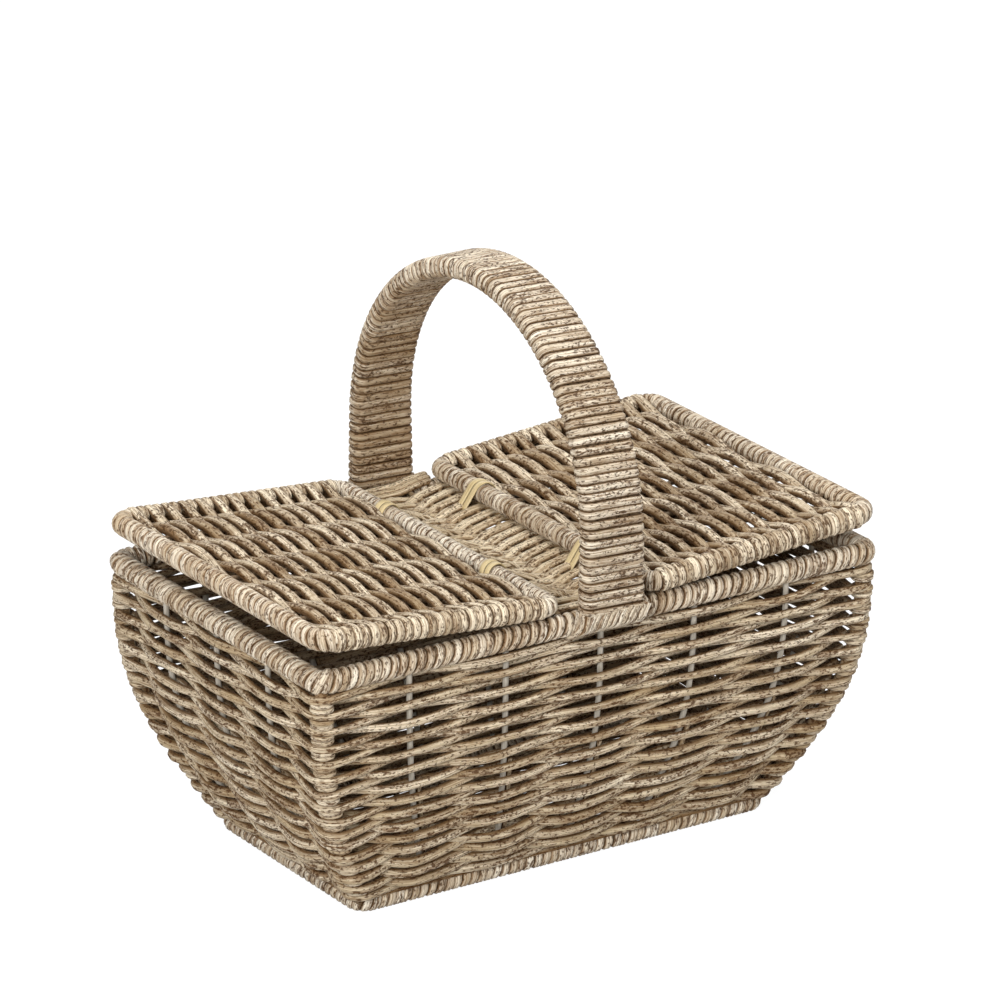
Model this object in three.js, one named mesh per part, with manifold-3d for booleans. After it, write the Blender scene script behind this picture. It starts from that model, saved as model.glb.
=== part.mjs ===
// Lidded rattan basket: a boat-shaped woven body, a bridge strip across its
// middle, two hinged woven lids and a fixed, cane-wound arch handle.
// Millimetres, +Z up, long side along X, origin on the floor under the middle.

import * as THREE from 'three';
import { mergeVertices } from 'three/addons/utils/BufferGeometryUtils.js';
import Module from 'manifold-3d';

const wasm = await Module();
wasm.setup();

// Clearances
const seatGap = 0.3; // between pieces that rest on or butt against each other
const rodClearance = 0.3; // round a rod that runs inside the weave
const bindingClearance = 0.4; // between the handle's core and its binding
const tieClearance = 0.5; // between a hinge tie and the bar that turns in it
const swingClearance = 1.0; // kept to the handle and the ties when a lid opens
const throughCut = 1; // how far a cutter runs past the face that it leaves by

// Top rim and base ring, measured between the centre lines of their bars
const rimLength = 407;
const rimWidth = 244;
const rimHeight = 179;
const rimBarRadius = 7.6;
const rimCornerRadius = 9;
const baseLength = 300;
const baseWidth = 159;
const baseRodRadius = 6;
const baseCornerRadius = 8;
const baseFlatDepth = 0.8; // the ring is worn flat where it stands
const basePanelThickness = 8;

// Woven walls: how they belly out between the base ring and the rim
const wallThickness = 8;
const bellyPower = 3.3;
const bellySkew = 1.5;
const weaverRows = 31;
const wallSteps = 8; // straight lengths in a post or a stake, a few rows each
const weaveRelief = 1.4; // how far a row swells over a stake and dips behind it
const postRadius = 6;
const postInset = 2.5;
const stakeRadius = 1.8;
const longWallStakes = 5;
const longWallPitch = 70; // at the rim
const endWallStakes = 3;
const endWallPitch = 61; // at the rim

// Bridge strip between the lids
const bridgeWidth = 62;
const bridgeThickness = 7;
const bridgeTopOverRim = 8.5; // over the rim's centre line
const bridgeStakeRadius = 2;
const bridgeEdgeStakeX = 27;
const bridgeInnerStakeX = 9;

// Lids
const hingeX = 36;
const hingeBarRadius = 6.5;
const hingeBarInset = 3.5; // its ends stop short of the lid's long edges
const lidBarRadius = 7;
const lidCornerRadius = 10;
const lidSpan = 167.5; // from the hinge axis to the outer bar
const lidTilt = 4.3; // degrees; the lid leans up to its outer end when shut
const lidPanelThickness = 8;
const lidStakeRadius = 1.8;
const lidStakes = 5;
const lidStakePitch = 40.7;
const lidWeavers = 26;
const lidWeaverPitch = 5.8;

// Hinge ties: flat raffia loops round each hinge bar and the bridge's edge
const tieBackY = 70;
const tieFrontY = -54;
const tieTurns = 2;
const tieWidth = 4.6;
const tiePitch = 5.6;
const tieThickness = 1.2;
const tieReach = 5.4; // radius of the loop where it goes round the bridge's edge
const tieEdgeInset = 3.7; // from the bridge's edge to the middle of that loop

// Handle: a flat strap of core rods, two straight legs under a half circle
const handleOutset = 11.5; // the legs' centre line stands outside the rim's
const handleSpringHeight = 236;
const handleCoreFootWidth = 42;
const handleCoreCrownWidth = 35;
const handleCoreThickness = 9.4;
const handleCoreCorner = 3;
const bindingThickness = 1.8;
const bindingTurns = 24;
const bindingTurnGap = 0.6;
const bindingFootGap = 0.8; // from the rim's top to the first turn

// Working heights and places that follow from the sizes above
const baseAxisHeight = baseRodRadius - baseFlatDepth;
const baseTop = baseAxisHeight + baseRodRadius;
const wallBottom = baseTop + seatGap;
const wallTop = rimHeight - rimBarRadius - seatGap;
const hingeHeight = rimHeight + rimBarRadius + hingeBarRadius + seatGap;
const bridgeTop = rimHeight + bridgeTopOverRim;
const bridgeBottom = bridgeTop - bridgeThickness;
const bridgeStakeHeight = (bridgeTop + bridgeBottom) / 2;
const insideRimWidth = rimWidth - 2 * rimBarRadius;
const handleRadius = rimWidth / 2 + handleOutset;

// Small geometry helpers

const vec = (x, y, z) => new THREE.Vector3(x, y, z);

// Points of a circle of the given radius in its own plane, as [a, b] pairs.
function circle(radius, sides) {
  const points = [];
  for (let i = 0; i < sides; i++) {
    const angle = ((i + 0.5) / sides) * 2 * Math.PI;
    points.push([radius * Math.cos(angle), radius * Math.sin(angle)]);
  }
  return points;
}

// Volume enclosed by an indexed mesh; negative when its faces point inwards.
function signedVolume(positions, index) {
  const corner = (i) => vec(positions[3 * i], positions[3 * i + 1], positions[3 * i + 2]);
  let volume = 0;
  for (let i = 0; i < index.length; i += 3) {
    const [a, b, c] = [corner(index[i]), corner(index[i + 1]), corner(index[i + 2])];
    volume += a.dot(b.cross(c)) / 6;
  }
  return volume;
}

// Skin over rings of equally many points. A loop joins its last ring to its
// first; otherwise each end is closed by a fan, so end sections are convex.
function skin(rings, loop = false) {
  const sides = rings[0].length;
  const positions = rings.flat().flatMap((p) => [p.x, p.y, p.z]);
  const index = [];
  const bands = loop ? rings.length : rings.length - 1;
  for (let i = 0; i < bands; i++) {
    const near = i * sides;
    const far = ((i + 1) % rings.length) * sides;
    for (let j = 0; j < sides; j++) {
      const next = (j + 1) % sides;
      index.push(near + j, near + next, far + next);
      index.push(near + j, far + next, far + j);
    }
  }
  if (!loop) {
    const last = (rings.length - 1) * sides;
    for (let j = 1; j < sides - 1; j++) {
      index.push(0, j + 1, j);
      index.push(last, last + j, last + j + 1);
    }
  }
  if (signedVolume(positions, index) < 0) {
    index.reverse();
  }
  const geometry = new THREE.BufferGeometry();
  geometry.setAttribute('position', new THREE.Float32BufferAttribute(positions, 3));
  geometry.setIndex(index);
  return geometry;
}

// Sheet with two faces over a grid of levels and stations, closed round its
// edges; face 1 is the outer one. Rows pass over and under stakes by turns, so
// the faces swell in diamonds, and each is creased along the dips between them.
function wovenSheet(levels, stations, pointAt) {
  const positions = [];
  for (const face of [0, 1]) {
    for (let i = 0; i <= levels; i++) {
      for (let j = 0; j <= stations; j++) {
        const p = pointAt(face, i, j);
        positions.push(p.x, p.y, p.z);
      }
    }
  }
  const at = (face, i, j) => (face * (levels + 1) + i) * (stations + 1) + j;
  const index = [];
  const quad = (a, b, c, d, crease = true) => {
    index.push(...(crease ? [a, b, c, a, c, d] : [a, b, d, b, c, d]));
  };
  for (let i = 0; i < levels; i++) {
    for (let j = 0; j < stations; j++) {
      const dips = (i + j) % 2 === 0;
      quad(at(1, i, j), at(1, i, j + 1), at(1, i + 1, j + 1), at(1, i + 1, j), dips);
      quad(at(0, i, j), at(0, i + 1, j), at(0, i + 1, j + 1), at(0, i, j + 1), !dips);
    }
    quad(at(1, i, 0), at(1, i + 1, 0), at(0, i + 1, 0), at(0, i, 0));
    quad(at(1, i + 1, stations), at(1, i, stations), at(0, i, stations), at(0, i + 1, stations));
  }
  for (let j = 0; j < stations; j++) {
    quad(at(1, 0, j + 1), at(1, 0, j), at(0, 0, j), at(0, 0, j + 1));
    quad(at(1, levels, j), at(1, levels, j + 1), at(0, levels, j + 1), at(0, levels, j));
  }
  if (signedVolume(positions, index) < 0) {
    index.reverse();
  }
  const geometry = new THREE.BufferGeometry();
  geometry.setAttribute('position', new THREE.Float32BufferAttribute(positions, 3));
  geometry.setIndex(index);
  return geometry;
}

// Swelling of a woven face at a level and a station: out where the row lies
// over the stake, in where it passes behind, and none along the outer levels.
function swell(level, lastLevel, station) {
  if (level === 0 || level === lastLevel) {
    return 0;
  }
  return (level + station) % 2 === 1 ? weaveRelief : -weaveRelief;
}

// Section carried along a path that lies flat in a horizontal plane. The
// section's first coordinate points to the left of the path, its second up.
function sweepFlat(path, section, loop = false) {
  const rings = path.map((point, i) => {
    const before = path[loop ? (i + path.length - 1) % path.length : Math.max(i - 1, 0)];
    const after = path[loop ? (i + 1) % path.length : Math.min(i + 1, path.length - 1)];
    const incoming = vec().subVectors(point, before).normalize();
    const outgoing = vec().subVectors(after, point).normalize();
    const along = vec().addVectors(incoming, outgoing).normalize();
    const bend = Math.max(along.dot(incoming), along.dot(outgoing));
    const left = vec(-along.y, along.x, 0).divideScalar(bend);
    return section.map(([a, b]) => vec(point.x + left.x * a, point.y + left.y * a, point.z + b));
  });
  return skin(rings, loop);
}

// Rounded rectangle of the given centre-line size at height z.
function roundedRectangle(length, width, radius, z, cornerSteps = 4) {
  const path = [];
  const centres = [[1, 1], [-1, 1], [-1, -1], [1, -1]];
  centres.forEach(([sx, sy], quarter) => {
    for (let i = 0; i <= cornerSteps; i++) {
      const angle = (quarter + i / cornerSteps) * Math.PI / 2;
      const x = sx * (length / 2 - radius) + radius * Math.cos(angle);
      const y = sy * (width / 2 - radius) + radius * Math.sin(angle);
      path.push(vec(x, y, z));
    }
  });
  return path;
}

// Round bar along Y with softly rounded ends.
function roundBar(length, radius, sides = 12) {
  const shoulder = 0.3 * radius;
  const half = length / 2;
  const profile = [
    new THREE.Vector2(0, -half),
    new THREE.Vector2(radius - shoulder, -half),
    new THREE.Vector2(radius, -half + shoulder),
    new THREE.Vector2(radius, half - shoulder),
    new THREE.Vector2(radius - shoulder, half),
    new THREE.Vector2(0, half),
  ];
  return new THREE.LatheGeometry(profile, sides);
}

// Plain rod between two points.
function rod(from, to, radius, sides = 8) {
  const axis = vec().subVectors(to, from);
  const geometry = new THREE.CylinderGeometry(radius, radius, axis.length(), sides);
  const turn = new THREE.Quaternion().setFromUnitVectors(vec(0, 1, 0), axis.normalize());
  geometry.applyQuaternion(turn);
  const middle = vec().addVectors(from, to).multiplyScalar(0.5);
  geometry.translate(middle.x, middle.y, middle.z);
  return geometry;
}

function block(low, high) {
  const size = vec().subVectors(high, low);
  const geometry = new THREE.BoxGeometry(size.x, size.y, size.z);
  geometry.translate((low.x + high.x) / 2, (low.y + high.y) / 2, (low.z + high.z) / 2);
  return geometry;
}

function toManifold(geometry) {
  const bare = geometry.clone();
  bare.deleteAttribute('normal');
  bare.deleteAttribute('uv');
  const merged = mergeVertices(bare, 1e-4);
  const vertProperties = new Float32Array(merged.attributes.position.array);
  const triVerts = new Uint32Array(merged.index.array);
  return new wasm.Manifold(new wasm.Mesh({ numProp: 3, vertProperties, triVerts }));
}

// The first geometry with all the cutters taken out of it.
function cut(geometry, cutters) {
  let solid = toManifold(geometry);
  for (const cutter of cutters) {
    solid = solid.subtract(toManifold(cutter));
  }
  const mesh = solid.getMesh();
  const result = new THREE.BufferGeometry();
  result.setAttribute('position', new THREE.Float32BufferAttribute(mesh.vertProperties, 3));
  result.setIndex(Array.from(mesh.triVerts));
  return result;
}

// Least distance between the facing edges of neighbouring turns of a winding.
function leastTurnGap(rings, stepsPerTurn, leading, trailing) {
  let least = Infinity;
  for (let i = 0; i + stepsPerTurn < rings.length; i++) {
    for (const a of leading) {
      for (const b of trailing) {
        least = Math.min(least, rings[i][a].distanceTo(rings[i + stepsPerTurn][b]));
      }
    }
  }
  return least;
}

// Materials

const cane = (color, roughness) => new THREE.MeshStandardMaterial({ color, roughness, metalness: 0 });
const materials = {
  weave: () => cane(0xa89272, 0.7),
  lidWeave: () => cane(0xb09a7a, 0.68),
  wrappedBar: () => cane(0xbcab8d, 0.62),
  baseBar: () => cane(0xa39580, 0.65),
  stake: () => cane(0xa5a097, 0.6),
  handle: () => cane(0x9c8565, 0.7),
  binding: () => cane(0xbfa988, 0.6),
  raffia: () => cane(0xcbb873, 0.55),
};

const basket = new THREE.Group();

function add(name, geometry, material, parent = basket) {
  const mesh = new THREE.Mesh(geometry, material);
  mesh.name = name;
  parent.add(mesh);
  return mesh;
}

// Body

// Share of the flare from base to rim that is reached at height z.
function spread(z) {
  const rise = (z - baseAxisHeight) / (rimHeight - baseAxisHeight);
  return 1 - (1 - rise) ** bellyPower * (1 + bellySkew * rise);
}
const halfLengthAt = (z) => (baseLength + (rimLength - baseLength) * spread(z)) / 2;
const halfWidthAt = (z) => (baseWidth + (rimWidth - baseWidth) * spread(z)) / 2;

// Heights of a wall's levels: its bottom, the middle of each row of weavers and
// its top. The rows are evenly spaced along the slope of the front wall.
function wallLevelHeights() {
  const samples = 400;
  const heights = [wallBottom];
  const climbed = [0];
  for (let i = 1; i <= samples; i++) {
    const z = wallBottom + ((wallTop - wallBottom) * i) / samples;
    const last = heights[i - 1];
    heights.push(z);
    climbed.push(climbed[i - 1] + Math.hypot(z - last, halfWidthAt(z) - halfWidthAt(last)));
  }
  const levels = [wallBottom];
  for (let row = 0; row < weaverRows; row++) {
    const target = ((row + 0.5) / weaverRows) * climbed[samples];
    levels.push(heights[climbed.findIndex((length) => length >= target)]);
  }
  levels.push(wallTop);
  return levels;
}
const wallLevels = wallLevelHeights();
const rowsPerStep = (weaverRows + 1) / wallSteps;

// A size of the body at a wall's level. Between the levels that shape the posts
// and stakes it runs straight, as they do.
function atLevel(sizeAt, i) {
  const below = Math.floor(i / rowsPerStep) * rowsPerStep;
  if (below === i) {
    return sizeAt(wallLevels[i]);
  }
  const above = below + rowsPerStep;
  const part = (wallLevels[i] - wallLevels[below]) / (wallLevels[above] - wallLevels[below]);
  return sizeAt(wallLevels[below]) * (1 - part) + sizeAt(wallLevels[above]) * part;
}

// Round piece that stands in the walls, drawn as level sections from the base
// to the rim. A tunnel for a rod runs past both ends by the overshoot.
function upright(sectionAt, overshoot = 0) {
  const level = (z, height) => sectionAt(z).map(([x, y]) => vec(x, y, height));
  const rings = [];
  for (let i = 0; i <= wallSteps; i++) {
    const z = wallLevels[i * rowsPerStep];
    rings.push(level(z, z));
  }
  if (overshoot > 0) {
    rings.unshift(level(wallBottom, wallBottom - overshoot));
    rings.push(level(wallTop, wallTop + overshoot));
  }
  return skin(rings);
}

function baseRingGeometry() {
  const section = circle(baseRodRadius, 12).map(([a, b]) => [a, Math.max(b, -baseAxisHeight)]);
  const path = roundedRectangle(baseLength, baseWidth, baseCornerRadius, baseAxisHeight);
  return sweepFlat(path, section, true);
}

function basePanelGeometry() {
  const inset = baseRodRadius + seatGap;
  const corner = baseCornerRadius - inset;
  const outline = roundedRectangle(baseLength - 2 * inset, baseWidth - 2 * inset, corner, 0);
  const top = baseTop - seatGap;
  const level = (z) => outline.map((p) => vec(p.x, p.y, z));
  return skin([level(top - basePanelThickness), level(top)]);
}

function topRimGeometry() {
  const path = roundedRectangle(rimLength, rimWidth, rimCornerRadius, rimHeight);
  return sweepFlat(path, circle(rimBarRadius, 12), true);
}

// Even places along a wall, centred, as distances from its middle at the rim.
function evenPlaces(count, pitch) {
  return Array.from({ length: count }, (_, i) => (i - (count - 1) / 2) * pitch);
}

// Where the walls stop beside the corner posts.
const postRoom = postInset + postRadius + seatGap;

// Woven wall between two corner posts. runAt and awayAt are the half sizes of
// the body along the wall and towards it; rimRun is the first of them at the rim.
function wovenWall(side, places, runAt, awayAt, rimRun, toPoint) {
  const lastLevel = weaverRows + 1;
  const lastStation = places.length + 1;
  return wovenSheet(lastLevel, lastStation, (face, i, j) => {
    const half = atLevel(runAt, i);
    let run = (places[j - 1] * half) / rimRun;
    if (j === 0 || j === lastStation) {
      run = (j === 0 ? -1 : 1) * (half - postRoom);
    }
    const relief = face === 1 ? swell(i, lastLevel, j) : 0;
    const away = atLevel(awayAt, i) + (face - 0.5) * wallThickness + relief;
    return toPoint(run, side * away, wallLevels[i]);
  });
}

const longWall = (side, places) =>
  wovenWall(side, places, halfLengthAt, halfWidthAt, rimLength / 2, (run, away, z) => vec(run, away, z));
const endWall = (side, places) =>
  wovenWall(side, places, halfWidthAt, halfLengthAt, rimWidth / 2, (run, away, z) => vec(away, run, z));

// A stake keeps its share of the wall's length all the way down.
function longStakeSection(side, place, radius, z) {
  const x = (place * halfLengthAt(z)) / (rimLength / 2);
  return circle(radius, 6).map(([a, b]) => [x + a, side * halfWidthAt(z) + b]);
}

function endStakeSection(side, place, radius, z) {
  const y = (place * halfWidthAt(z)) / (rimWidth / 2);
  return circle(radius, 6).map(([a, b]) => [side * halfLengthAt(z) + a, y + b]);
}

function addWall(name, side, wallShape, stakeSection, places) {
  const tunnelRadius = stakeRadius + rodClearance;
  const tunnels = places.map((place) =>
    upright((z) => stakeSection(side, place, tunnelRadius, z), throughCut));
  add(`wall_${name}`, cut(wallShape(side, places), tunnels), materials.weave());
  places.forEach((place, i) => {
    const stake = upright((z) => stakeSection(side, place, stakeRadius, z));
    add(`stake_${name}_${i + 1}`, stake, materials.stake());
  });
}

function addCornerPost(name, sx, sy) {
  const post = upright((z) => {
    const x = sx * (halfLengthAt(z) - postInset);
    const y = sy * (halfWidthAt(z) - postInset);
    return circle(postRadius, 8).map(([a, b]) => [x + a, y + b]);
  });
  add(`corner_post_${name}`, post, materials.wrappedBar());
}

function addBody() {
  add('base_ring', baseRingGeometry(), materials.baseBar());
  add('base_panel', basePanelGeometry(), materials.weave());
  const longPlaces = evenPlaces(longWallStakes, longWallPitch);
  const endPlaces = evenPlaces(endWallStakes, endWallPitch);
  addWall('front', -1, longWall, longStakeSection, longPlaces);
  addWall('back', 1, longWall, longStakeSection, longPlaces);
  addWall('left', -1, endWall, endStakeSection, endPlaces);
  addWall('right', 1, endWall, endStakeSection, endPlaces);
  addCornerPost('front_left', -1, -1);
  addCornerPost('front_right', 1, -1);
  addCornerPost('back_left', -1, 1);
  addCornerPost('back_right', 1, 1);
  add('top_rim', topRimGeometry(), materials.wrappedBar());
}

// Bridge strip

const tiePlaces = [['back', tieBackY], ['front', tieFrontY]];
const tieSpanY = tieTurns * tiePitch + tieWidth;
const tieCentreX = bridgeWidth / 2 - tieEdgeInset;

function addBridge() {
  const half = insideRimWidth / 2 - seatGap;
  const plate = block(
    vec(-bridgeWidth / 2, -half, bridgeBottom),
    vec(bridgeWidth / 2, half, bridgeTop),
  );
  const stakeXs = [-bridgeEdgeStakeX, -bridgeInnerStakeX, bridgeInnerStakeX, bridgeEdgeStakeX];
  const stakeBetween = (x, reach, radius) =>
    rod(vec(x, -reach, bridgeStakeHeight), vec(x, reach, bridgeStakeHeight), radius);
  const tunnelRadius = bridgeStakeRadius + rodClearance;
  const cutters = stakeXs.map((x) => stakeBetween(x, half + throughCut, tunnelRadius));
  // Slots in the weave where the hinge ties go down through the strip.
  const slotOuter = bridgeEdgeStakeX - bridgeStakeRadius - 2 * rodClearance;
  const slotInner = tieCentreX - tieReach - tieThickness - seatGap;
  const slotHalf = tieSpanY / 2 + seatGap;
  for (const side of [-1, 1]) {
    for (const [, y] of tiePlaces) {
      const xs = [side * slotInner, side * slotOuter].sort((a, b) => a - b);
      const low = vec(xs[0], y - slotHalf, bridgeBottom - throughCut);
      const high = vec(xs[1], y + slotHalf, bridgeTop + throughCut);
      cutters.push(block(low, high));
    }
  }
  add('bridge_panel', cut(plate, cutters), materials.weave());
  stakeXs.forEach((x, i) => {
    add(`bridge_stake_${i + 1}`, stakeBetween(x, half, bridgeStakeRadius), materials.stake());
  });
}

// Lids

// A lid in its own frame: hinge axis on Y at the origin, lid towards +X.
// Its upper face, seen in the basket, is the one on the given side of its plane.
function lidPieces(side) {
  const halfWidth = rimWidth / 2;
  const barSection = circle(lidBarRadius, 12);
  const start = hingeBarRadius + seatGap;
  const bend = lidSpan - lidCornerRadius;
  const cornerSteps = 4;
  const path = [vec(start, -halfWidth, 0)];
  for (let i = 0; i <= cornerSteps; i++) {
    const angle = (i / cornerSteps - 1) * (Math.PI / 2);
    const x = bend + lidCornerRadius * Math.cos(angle);
    const y = -halfWidth + lidCornerRadius * (1 + Math.sin(angle));
    path.push(vec(x, y, 0));
  }
  const mirrored = path.map((p) => vec(p.x, -p.y, 0)).reverse();
  const frame = sweepFlat([...path, ...mirrored], barSection);

  const hingeBarLength = rimWidth + 2 * (lidBarRadius - hingeBarInset);
  const hingeBar = roundBar(hingeBarLength, hingeBarRadius);

  const panelStart = hingeBarRadius + tieClearance + tieThickness + swingClearance;
  const panelEnd = lidSpan - lidBarRadius - seatGap;
  const panelHalf = halfWidth - lidBarRadius - seatGap;
  const panelCorner = lidCornerRadius - lidBarRadius - seatGap;
  const places = evenPlaces(lidStakes, lidStakePitch);
  const lastStation = lidStakes + 1;
  const firstRow = panelEnd - lidWeaverPitch * lidWeavers;
  const plate = wovenSheet(lidWeavers, lastStation, (face, i, j) => {
    const x = i === 0 ? panelStart : firstRow + lidWeaverPitch * i;
    const inset = i === lidWeavers ? panelCorner : 0;
    let y = places[j - 1];
    if (j === 0 || j === lastStation) {
      y = (j === 0 ? -1 : 1) * (panelHalf - inset);
    }
    const z = (face - 0.5) * lidPanelThickness + swell(i, lidWeavers, j);
    return vec(x, y, side * z);
  });
  const stakeAt = (y, from, to, radius) => rod(vec(from, y, 0), vec(to, y, 0), radius);
  const tunnels = places.map((y) =>
    stakeAt(y, panelStart - throughCut, panelEnd + throughCut, lidStakeRadius + rodClearance));
  const panel = cut(plate, tunnels);
  const stakes = places.map((y) => stakeAt(y, start, panelEnd, lidStakeRadius));
  return { frame, hingeBar, panel, stakes };
}

function addLid(name, side) {
  const lid = new THREE.Group();
  lid.position.set(side * hingeX, 0, hingeHeight);
  const tilt = lidTilt * THREE.MathUtils.DEG2RAD;
  lid.rotation.set(0, side > 0 ? -tilt : Math.PI + tilt, 0);
  basket.add(lid);
  const pieces = lidPieces(side);
  add(`lid_${name}_hinge_bar`, pieces.hingeBar, materials.wrappedBar(), lid);
  add(`lid_${name}_frame`, pieces.frame, materials.wrappedBar(), lid);
  add(`lid_${name}_panel`, pieces.panel, materials.lidWeave(), lid);
  pieces.stakes.forEach((stake, i) => {
    add(`lid_${name}_stake_${i + 1}`, stake, materials.stake(), lid);
  });
}

// Hinge ties

// Angle and centre of the loop's inner line at share t of one turn, seen along Y:
// a belt round the hinge bar and round the edge of the bridge strip.
function tieBelt(stepsPerTurn) {
  const upper = { x: hingeX, z: hingeHeight, radius: hingeBarRadius + tieClearance };
  const lower = { x: tieCentreX, z: bridgeStakeHeight, radius: tieReach };
  const apart = Math.hypot(upper.x - lower.x, upper.z - lower.z);
  const lean = Math.atan2(upper.z - lower.z, upper.x - lower.x);
  const tangent = Math.acos((lower.radius - upper.radius) / apart);
  const upperSteps = stepsPerTurn / 2;
  const points = [];
  for (let i = 0; i < stepsPerTurn; i++) {
    const onUpper = i < upperSteps;
    const share = onUpper ? i / (upperSteps - 1) : (i - upperSteps) / (upperSteps - 1);
    const from = onUpper ? lean - tangent : lean + tangent;
    const sweep = onUpper ? 2 * tangent : 2 * Math.PI - 2 * tangent;
    const angle = from + sweep * share;
    points.push({ ...(onUpper ? upper : lower), angle });
  }
  return points;
}

function tieGeometry(side, y) {
  const stepsPerTurn = 12;
  const belt = tieBelt(stepsPerTurn);
  const rings = [];
  for (let i = 0; i <= tieTurns * stepsPerTurn; i++) {
    const { x, z, radius, angle } = belt[i % stepsPerTurn];
    const middle = y + tiePitch * (i / stepsPerTurn - tieTurns / 2);
    const at = (across, out) =>
      vec(side * (x + (radius + out) * Math.cos(angle)), middle + across, z + (radius + out) * Math.sin(angle));
    const half = tieWidth / 2;
    rings.push([at(-half, 0), at(half, 0), at(half, tieThickness), at(-half, tieThickness)]);
  }
  const gap = leastTurnGap(rings, stepsPerTurn, [1, 2], [0, 3]);
  return { geometry: skin(rings), gap };
}

function addTies() {
  for (const [name, side] of [['left', -1], ['right', 1]]) {
    for (const [place, y] of tiePlaces) {
      const { geometry, gap } = tieGeometry(side, y);
      add(`hinge_tie_${name}_${place}`, geometry, materials.raffia());
      console.log(`hinge tie ${name} ${place}: least gap between turns ${gap.toFixed(2)} mm`);
    }
  }
}

// Handle

// Point of the handle at distance s along its centre line from the crown,
// x across the strap and h out from the centre line.
function handlePoint(s, x, h) {
  const quarter = (Math.PI / 2) * handleRadius;
  const side = Math.sign(s) || 1;
  if (Math.abs(s) >= quarter) {
    return vec(x, side * (handleRadius + h), handleSpringHeight - (Math.abs(s) - quarter));
  }
  const angle = s / handleRadius;
  const reach = handleRadius + h;
  return vec(x, reach * Math.sin(angle), handleSpringHeight + reach * Math.cos(angle));
}

// Width of the core at distance s from the crown; the strap widens to its feet.
function coreWidthAt(s) {
  const crownHeight = handleSpringHeight + handleRadius;
  const drop = (crownHeight - handlePoint(s, 0, 0).z) / (crownHeight - rimHeight);
  return handleCoreCrownWidth + (handleCoreFootWidth - handleCoreCrownWidth) * drop;
}

// Outline of the strap at distance s, with rounded corners, pushed out by an
// offset: three points on each corner and flatSteps between them on each face.
function strapOutline(s, offset, flatSteps) {
  const radius = handleCoreCorner + offset;
  const cornerX = coreWidthAt(s) / 2 - handleCoreCorner;
  const cornerH = handleCoreThickness / 2 - handleCoreCorner;
  const points = [];
  for (const side of [1, -1]) {
    for (const edge of [-1, 1]) {
      for (let i = 0; i < 3; i++) {
        const angle = ((edge - 1) / 2 + i / 2) * (Math.PI / 2);
        const x = cornerX + radius * Math.cos(angle);
        const h = edge * cornerH + radius * Math.sin(angle);
        points.push([side * x, side * h]);
      }
    }
    for (let i = 1; i <= flatSteps; i++) {
      const x = cornerX * (1 - (2 * i) / (flatSteps + 1));
      points.push([side * x, side * (cornerH + radius)]);
    }
  }
  return points;
}

function handleCoreGeometry() {
  const quarter = (Math.PI / 2) * handleRadius;
  const legFoot = quarter + handleSpringHeight - rimHeight;
  const stations = [-legFoot];
  const bends = 24;
  for (let i = 0; i <= bends; i++) {
    stations.push(quarter * (-1 + (2 * i) / bends));
  }
  stations.push(legFoot);
  const ring = (s) => strapOutline(s, 0, 0).map(([x, h]) => handlePoint(s, x, h));
  const strap = skin(stations.map(ring));
  // The feet are notched over the rim's outer shoulder.
  const reach = handleCoreFootWidth;
  const notches = [-1, 1].map((side) => {
    const y = (side * rimWidth) / 2;
    return rod(vec(-reach, y, rimHeight), vec(reach, y, rimHeight), rimBarRadius + seatGap, 24);
  });
  return cut(strap, notches);
}

function handleBindingGeometry() {
  const footHeight = rimHeight + rimBarRadius + bindingFootGap;
  const reach = (Math.PI / 2) * handleRadius + handleSpringHeight - footHeight;
  const pitch = (2 * reach + bindingTurnGap) / (bindingTurns + 1);
  const width = pitch - bindingTurnGap;
  const flatSteps = 6;
  const stepsPerTurn = strapOutline(0, 0, flatSteps).length;
  const rings = [];
  for (let i = 0; i <= bindingTurns * stepsPerTurn; i++) {
    const s = -reach + width / 2 + (pitch * i) / stepsPerTurn;
    const j = i % stepsPerTurn;
    const at = (shift, rise) => {
      const station = s + shift * width;
      const offset = bindingClearance + rise * bindingThickness;
      return handlePoint(station, ...strapOutline(station, offset, flatSteps)[j]);
    };
    rings.push([at(-0.5, 0), at(0, 0), at(0.5, 0), at(0.44, 0.85), at(0, 1), at(-0.44, 0.85)]);
  }
  const gap = leastTurnGap(rings, stepsPerTurn, [2, 3], [0, 5]);
  console.log(`handle binding: least gap between turns ${gap.toFixed(2)} mm`);
  return skin(rings);
}

function addHandle() {
  add('handle_core', handleCoreGeometry(), materials.handle());
  add('handle_binding', handleBindingGeometry(), materials.binding());
}

// The whole basket

addBody();
addBridge();
addLid('left', -1);
addLid('right', 1);
addTies();
addHandle();

export default basket;
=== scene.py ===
import math

import bpy
import numpy as np
from mathutils import Matrix, Vector


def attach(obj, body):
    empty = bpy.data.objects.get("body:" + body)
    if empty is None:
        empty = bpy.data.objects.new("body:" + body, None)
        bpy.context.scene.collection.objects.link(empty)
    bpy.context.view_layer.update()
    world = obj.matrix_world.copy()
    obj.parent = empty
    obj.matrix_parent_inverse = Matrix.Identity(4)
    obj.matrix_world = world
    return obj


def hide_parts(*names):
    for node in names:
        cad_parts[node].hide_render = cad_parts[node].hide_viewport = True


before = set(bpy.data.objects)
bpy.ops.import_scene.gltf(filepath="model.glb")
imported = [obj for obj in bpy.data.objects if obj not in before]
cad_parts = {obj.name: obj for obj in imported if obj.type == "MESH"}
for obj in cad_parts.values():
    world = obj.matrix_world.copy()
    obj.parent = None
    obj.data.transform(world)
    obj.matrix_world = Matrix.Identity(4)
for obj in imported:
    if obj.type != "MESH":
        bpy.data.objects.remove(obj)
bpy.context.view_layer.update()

# Base ring. A bent rod closed into a rounded rectangle and wound from end to
# end with split cane, which is worn flat underneath, where the basket stands.
# Sizes here and below are in millimetres.
base_length = 300
base_width = 159
base_radius = 6
base_corner = 8
base_height = 5.2
base_core = 7.4
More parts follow.
